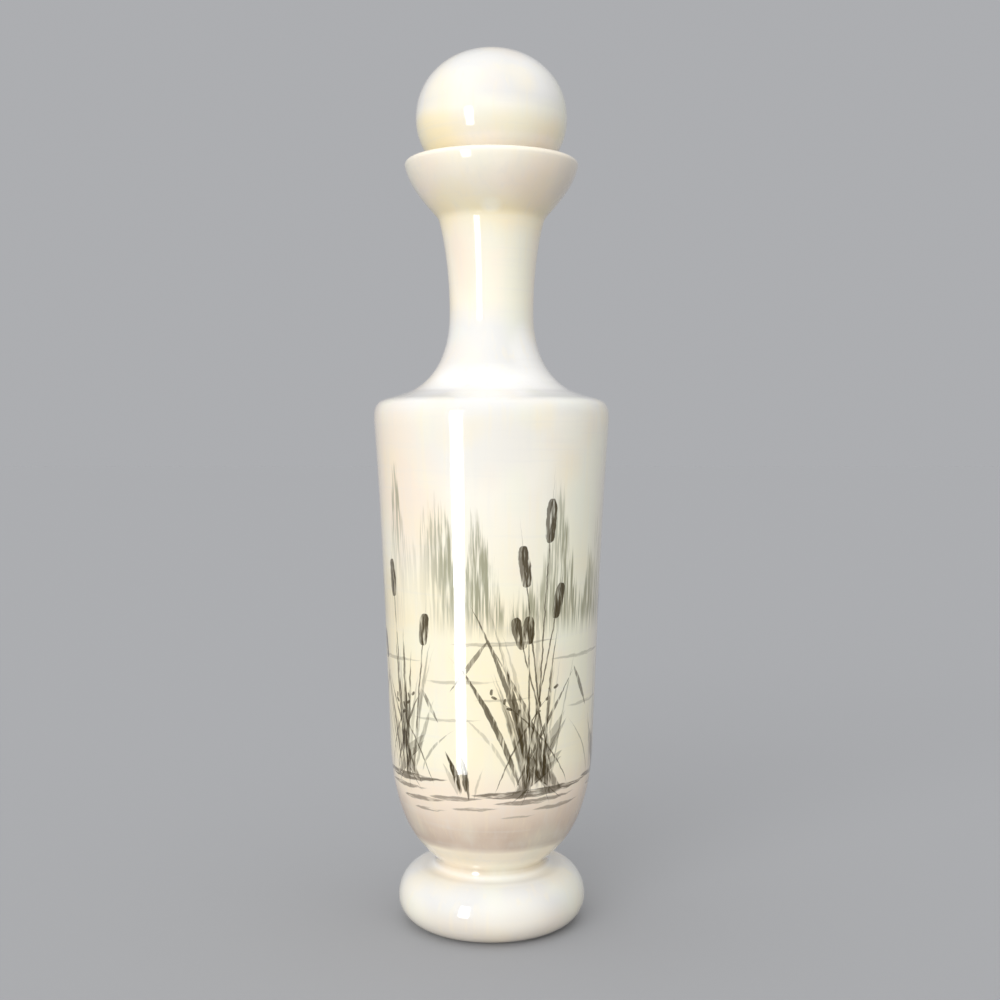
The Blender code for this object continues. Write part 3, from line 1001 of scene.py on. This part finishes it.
def painted_colour(tree, colour):
    """The ink study over the glaze's colour."""
    wall = shaken_wall(tree)
    reeds = math_node(tree, "MULTIPLY", far_reeds(tree, wall[1]), FAR_REEDS_INK)
    colour = tinted(tree, reeds, colour, FAR_REEDS)
    blades = blade_strokes()
    stems, heads = mace_strokes()
    broad, ribs = broad_strokes()
    rushes, fruits = rush_strokes()
    pale = [stroke for stroke in blades if stroke[-1] < PALE_LIMIT]
    dark = [stroke for stroke in blades if stroke[-1] > PALE_LIMIT]
    ground = paint(tree, wall, LEAF_BRUSH, ground_strokes(), 1.0, SOFT_EDGE_MM)
    colour = tinted(tree, dry_ink(tree, wall, ground, GROUND_HAIRS), colour, SEPIA)
    clear = paint(tree, wall, LEAF_BRUSH, pale, 1.0, SOFT_EDGE_MM)
    clear = paint(tree, wall, BROAD_BRUSH, broad, clear, SOFT_EDGE_MM)
    clear = paint(tree, wall, LEAF_BRUSH, dark + stems + ribs + bent_strokes() + rushes, clear)
    clear = paint(tree, wall, HEAD_BRUSH, heads + fruits, clear)
    return tinted(tree, dry_ink(tree, wall, clear, PLANT_HAIRS), colour, SEPIA)


print("the reeds begin", WATER_HEIGHT, "m above the table")

# %% [markdown]
# The shader has three layers. The body under the glaze throws colour back softly, the coat is the
# clear skin that mirrors the room, and the film, a few hundred nanometres thick, gives the pearl
# its faint pink and green. A ripple finer than a hair keeps the mirror from being perfect.

# %% Glaze material
GLAZE_RIPPLE = 0.00003
FILM_LEAST_NM = 265.0
FILM_SPREAD_NM = 60.0
GLAZE_FINISH = {
    "Roughness": 0.12, "IOR": 1.55, "Specular IOR Level": 0.12, "Coat Weight": 0.9,
    "Coat Roughness": 0.018, "Coat IOR": 1.4, "Thin Film IOR": 1.25,
}


def new_material(name):
    """A new material, with its tree and its shader."""
    material = bpy.data.materials.new(name)
    material.use_nodes = True
    return material, material.node_tree, material.node_tree.nodes["Principled BSDF"]


def bumped(tree, height, distance, strength):
    """Normals that follow a height."""
    inputs = {"Height": height, "Distance": distance, "Strength": strength}
    return add_node(tree, "ShaderNodeBump", inputs).outputs[0]


def glaze_material(name, tones, patches, painted=False):
    """The lustre glaze, with or without the painting."""
    material, tree, shader = new_material(name)
    colour = glaze_tint(tree, tones, patches)
    if painted:
        colour = painted_colour(tree, colour)
    rippled = bumped(tree, cloud(tree, scale=110.0, offset=0.9), GLAZE_RIPPLE, 1.0)
    drift = cloud(tree, scale=40.0, offset=7.7)
    film = math_node(tree, "MULTIPLY_ADD", drift, FILM_SPREAD_NM, FILM_LEAST_NM)
    fill(tree, shader, {"Base Color": colour, "Normal": rippled, "Coat Normal": rippled})
    fill(tree, shader, {"Thin Film Thickness": film, **GLAZE_FINISH})
    return material


bottle_glaze = glaze_material("bottle_glaze", BOTTLE_TONES, BOTTLE_PATCHES, painted=True)
ball_glaze = glaze_material("ball_glaze", BALL_TONES, BALL_PATCHES)
print("the bottle's glaze has", len(bottle_glaze.node_tree.nodes), "nodes")

# %% [markdown]
# ## Cork and bare clay
# Natural cork is tan, banded by its yearly rings and dull. Its dark pores are holes, so they become
# geometry: a second tree pushes the surface inwards wherever a noise is high. The clay is bare only
# where the foot rests, since glaze there would stick to the kiln's shelf.

# %% Cork and clay materials
CORK_LIGHT = (0.600, 0.400, 0.220, 1.0)
CORK_DARK = (0.330, 0.185, 0.085, 1.0)
CORK_PORE = (0.090, 0.042, 0.020, 1.0)
CLAY = (0.720, 0.650, 0.550, 1.0)
CLAY_SPECK = (0.480, 0.400, 0.320, 1.0)
GRAIN_DEPTH = 0.0001

# where the noise begins to tint, where the tint is full, and its strength
DARK_BANDS = (0.42, 0.66, 0.55)
DARK_GRAIN = (0.50, 0.72, 0.60)
DARK_SPECKS = (0.56, 0.70, 0.80)

# the noise of the pores, and where on it a pore begins and is deepest
PORE_SCALE = 340.0
PORE_OFFSET = 0.6
PORE_DETAIL = 2.0
PORE_EDGE = 0.60
PORE_FLOOR = 0.68


def cork_material():
    """Natural cork: bands, fine grain, dark pores and a dull surface."""
    material, tree, shader = new_material("natural_cork")
    bands = cloud(tree, scale=150.0, offset=0.4, stretch=(1.0, 0.2, 0.2))
    colour = tinted(tree, faded(tree, bands, *DARK_BANDS), CORK_LIGHT, CORK_DARK)
    grain = cloud(tree, scale=1500.0, offset=1.7, detail=3.0)
    colour = tinted(tree, faded(tree, grain, *DARK_GRAIN), colour, CORK_DARK)
    pores = cloud(tree, PORE_SCALE, PORE_OFFSET, PORE_DETAIL)
    colour = tinted(tree, faded(tree, pores, PORE_EDGE, PORE_FLOOR), colour, CORK_PORE)
    grainy = bumped(tree, grain, GRAIN_DEPTH, 0.6)
    fill(tree, shader, {"Base Color": colour, "Normal": grainy, "Roughness": 0.86})
    return material


def clay_material():
    """Fired clay without glaze: matt, buff and finely speckled."""
    material, tree, shader = new_material("bare_clay")
    specks = cloud(tree, scale=1800.0, offset=2.6, detail=2.0)
    colour = tinted(tree, faded(tree, specks, *DARK_SPECKS), CLAY, CLAY_SPECK)
    speckled = bumped(tree, specks, GRAIN_DEPTH, 0.5)
    fill(tree, shader, {"Base Color": colour, "Normal": speckled, "Roughness": 0.92})
    return material


cork_finish = cork_material()
clay_finish = clay_material()
print("finishes:", cork_finish.name, clay_finish.name)

# %% The pores' tree
PORE_DEPTH = 0.00035


def pore_tree():
    """Geometry Nodes that sink pores into a piece, inwards only."""
    takes = {"Blank": "Geometry", "Scale": "Float", "Offset": "Float", "Depth": "Float",
             "Finish": "Material"}
    tree = new_group("pores", "GeometryNodeTree", takes, {"Form": "Geometry"})
    given = tree.nodes.new("NodeGroupInput").outputs
    position = tree.nodes.new("GeometryNodeInputPosition").outputs[0]
    shift = add_node(tree, "ShaderNodeCombineXYZ", {"X": given["Offset"], "Y": given["Offset"]})
    place = add_node(tree, "ShaderNodeVectorMath", {0: position, 1: shift.outputs[0]}, operation="ADD")
    inputs = {"Vector": place.outputs[0], "Scale": given["Scale"], "Detail": PORE_DETAIL, "Roughness": 0.5}
    noise = add_node(tree, "ShaderNodeTexNoise", inputs)
    share = faded(tree, noise.outputs[0], PORE_EDGE, PORE_FLOOR)
    depth = math_node(tree, "MULTIPLY", math_node(tree, "MULTIPLY", share, given["Depth"]), -1.0)
    normal = tree.nodes.new("GeometryNodeInputNormal").outputs[0]
    sunk = add_node(tree, "ShaderNodeVectorMath", {0: normal, "Scale": depth}, operation="SCALE")
    moved = add_node(tree, "GeometryNodeSetPosition",
                     {"Geometry": given["Blank"], "Offset": sunk.outputs[0]})
    end_tree(tree, moved.outputs[0], given["Finish"])
    return tree


pores = pore_tree()
print("the pores take", list(input_names(pores)))

# %% [markdown]
# ## Turn the pieces and seat them on the model
# Each piece stands for its solid of the working model, which stays behind, hidden, and the piece
# rides on the body that the solid belongs to. Each piece stands for its solid of the working model,
# which stays behind for the motion tests, and rides on the body that the solid belongs to. So the
# ball and its cork rise together.

# %% Turn, ride and replace


def dress(piece, node, body):
    """Let a finished piece stand for a node of the working model."""
    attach(piece, body)
    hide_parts(node)


def leave_bare(piece, finish, height):
    """Give the faces that lie below a height a second material."""
    piece.data.materials.append(finish)
    count = 0
    for face in piece.data.polygons:
        if all(piece.data.vertices[index].co.z < height for index in face.vertices):
            face.material_index = 1
            count += 1
    print(piece.name, "has", count, "bare faces")


BARE_HEIGHT = 0.00015
BOTTLE_FACETS = 256
STOPPER_FACETS = 192
bottle = turn_outline("glazed_bottle", bottle_outline(), BOTTLE_FACETS, bottle_glaze)
leave_bare(bottle, clay_finish, BARE_HEIGHT)
ball = turn_outline("glazed_ball", ball_outline(), STOPPER_FACETS, ball_glaze)
blank = turn_outline("cork_blank", cork_outline(), STOPPER_FACETS, cork_finish)
pore_values = {"Scale": PORE_SCALE, "Offset": PORE_OFFSET, "Depth": PORE_DEPTH, "Finish": cork_finish}
cork = run_tree(blank, pores, "tapered_cork", pore_values)
print(cork.name, round(millilitres(cork.data), 1), "ml of cork after its pores")
dress(bottle, "bottle", "bottle")
dress(ball, "stopper_ball", "stopper")
dress(cork, "stopper_cork", "stopper")

# %% [markdown]
# ## Floor and light
# The floor is plain and pale. An even sky and the broad light of a window on the left light the
# glaze, so its right side falls into soft shade. A faint light from the ceiling lifts what faces up,
# such as the shoulder and the top of the ball. Two tall cards that only reflections see draw the
# window's upright highlight: one at a distance, and a near one for the low part of the wall. What
# the camera sees of the sky has the floor's own colour as the lights show it, so no horizon shows.

# %% Floor
FLOOR_HALF = 6.0
FLOOR_PALE = (0.400, 0.406, 0.422, 1.0)
FLOOR_BOUNCE = (0.290, 0.280, 0.270, 1.0)


def seen_or_hidden(tree, hidden, seen):
    """The seen colour for the camera and for reflections, and the hidden one for all other rays."""
    path = add_node(tree, "ShaderNodeLightPath").outputs
    share = math_node(tree, "MAXIMUM", path["Is Camera Ray"], path["Is Glossy Ray"])
    share = math_node(tree, "MAXIMUM", share, path["Is Transmission Ray"])
    return tinted(tree, share, hidden, seen)


def floor_material():
    """Pale to the camera and in reflections, and darker where it throws light back."""
    material, tree, shader = new_material("floor")
    colour = seen_or_hidden(tree, FLOOR_BOUNCE, FLOOR_PALE)
    fill(tree, shader, {"Base Color": colour, "Roughness": 0.9, "Specular IOR Level": 0.0})
    return material


floor_mesh = bpy.data.meshes.new("floor")
floor_corners = [(x * FLOOR_HALF, y * FLOOR_HALF, 0.0) for x, y in ((-1, -1), (1, -1), (1, 1), (-1, 1))]
floor_mesh.from_pydata(floor_corners, [], [(0, 1, 2, 3)])
floor_mesh.materials.append(floor_material())
floor = add_object("floor", floor_mesh)
print("floor", 2 * FLOOR_HALF, "m across")

# %% Sky and window light
SKY_LIGHT = 0.742
WINDOW_LIGHT = 0.925
WINDOW_AZIMUTH = math.radians(-21)
WINDOW_ELEVATION = math.radians(8)
WINDOW_SPREAD = math.radians(60)
CEILING_LIGHT = 0.11
CEILING_SPREAD = math.radians(90)

# how bright the lit floor looks, as a multiple of its colour
FLOOR_LEVEL = 1.038

world = bpy.data.worlds.new("studio")
bpy.context.scene.world = world
world.use_nodes = True
sky = world.node_tree
sky_pale = tuple(FLOOR_LEVEL * value for value in FLOOR_PALE[:3]) + (1.0,)
sky_colour = seen_or_hidden(sky, (SKY_LIGHT, SKY_LIGHT, SKY_LIGHT, 1.0), sky_pale)
fill(sky, sky.nodes["Background"], {"Color": sky_colour})


def distant_light(name, level, spread, from_straight_up, azimuth):
    """A distant soft light: its level, its spread, and where it comes from."""
    lamp = bpy.data.lights.new(name, "SUN")
    lamp.energy = math.pi * level
    lamp.angle = spread
    light = add_object(name, lamp)
    light.rotation_euler = (from_straight_up, 0.0, azimuth)
    light.visible_glossy = False


distant_light("window_light", WINDOW_LIGHT, WINDOW_SPREAD, UPRIGHT - WINDOW_ELEVATION, WINDOW_AZIMUTH)
distant_light("ceiling_light", CEILING_LIGHT, CEILING_SPREAD, 0.0, 0.0)
print("sky", SKY_LIGHT, "window", WINDOW_LIGHT, "ceiling", CEILING_LIGHT)

# %% The window in reflections
CARD_RADIANCE = 7.0
CARD_SPREAD = math.radians(100)

# name, azimuth in degrees, distance, width and height
CARDS = [("window_pane", -32.5, 0.690, 0.145, 0.370), ("window_sill", -30, 0.200, 0.036, 0.106)]

for name, azimuth_degrees, distance, width, height in CARDS:
    azimuth = math.radians(azimuth_degrees)
    lamp = bpy.data.lights.new(name, "AREA")
    lamp.shape = "RECTANGLE"
    lamp.size = width
    lamp.size_y = height
    lamp.energy = CARD_RADIANCE * math.pi * width * height
    lamp.spread = CARD_SPREAD
    card = add_object(name, lamp)
    card.location = (distance * math.sin(azimuth), -distance * math.cos(azimuth), height / 2)
    card.rotation_euler = (UPRIGHT, 0.0, azimuth)
    card.visible_camera = False
    card.visible_diffuse = False
print(len(CARDS), "cards of light")

# %% [markdown]
# ## Close the scene
# The view stays plain, so that a colour shows about as it is written. The box of the working
# model is printed.

# %% View and sizes
bpy.context.scene.view_settings.view_transform = "Standard"


def plain(box):
    """A box as two plain lists of numbers."""
    return [[float(value) for value in corner] for corner in box]


print("model", plain(model_box))
